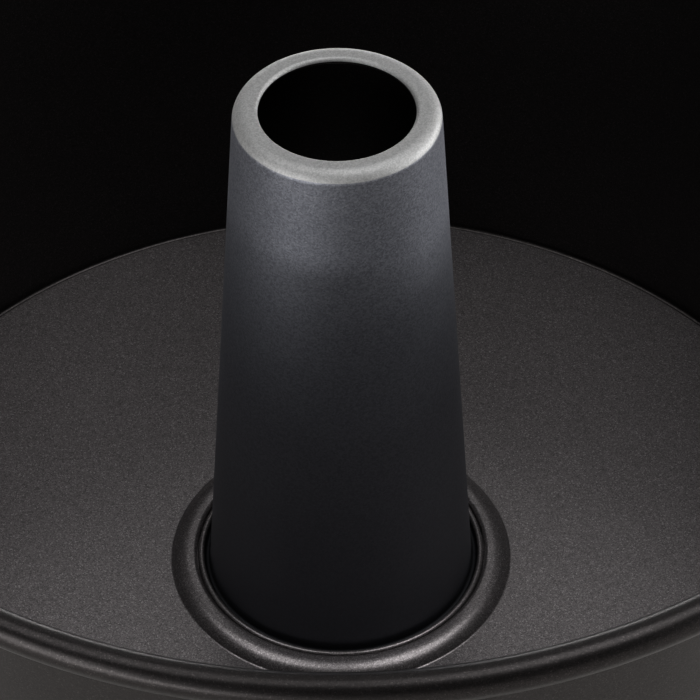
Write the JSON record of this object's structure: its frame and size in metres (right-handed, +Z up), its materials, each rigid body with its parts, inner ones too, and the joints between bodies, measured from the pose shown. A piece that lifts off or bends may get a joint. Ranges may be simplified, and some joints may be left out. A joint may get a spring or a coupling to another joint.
{
  "type": "angel food cake pan",
  "caption": "Round cake pan with a tapered outer ring and wired rolled rim; its loose flat bottom carries a tall hollow centre tube and lifts out.",
  "frame": {"origin": "centre of the foot, on the surface that the pan stands on", "axes": "+Z up the centre tube, the axis that every piece is turned about; X and Y are level and alike"},
  "size_m": [0.26, 0.26, 0.1298],
  "materials": {
    "ring_coating": "dark grey non-stick coating on drawn steel sheet, satin, with a fine metallic flake",
    "bottom_coating": "dark grey non-stick coating on pressed steel sheet, satin, with a fine metallic flake",
    "tube_coating": "dark grey non-stick coating on drawn steel sheet, satin, with a fine metallic flake; the top face round the mouth and most of the shoulder are bare satin steel with a sharp edge to the coat",
    "rim_wire_steel": "bare drawn steel wire, closed in by the curl of the rim"
  },
  "bodies": {
    "pan": {"pan_body": "ring_coating", "rim_wire": "rim_wire_steel"},
    "insert": {"base_disc": "bottom_coating", "centre_tube": "tube_coating"}
  },
  "joints": [
    {"name": "insert_lift", "type": "slide", "parent": "pan", "child": "insert", "axis": [0, 0, 1], "range_m": [0, 0.12]}
  ]
}
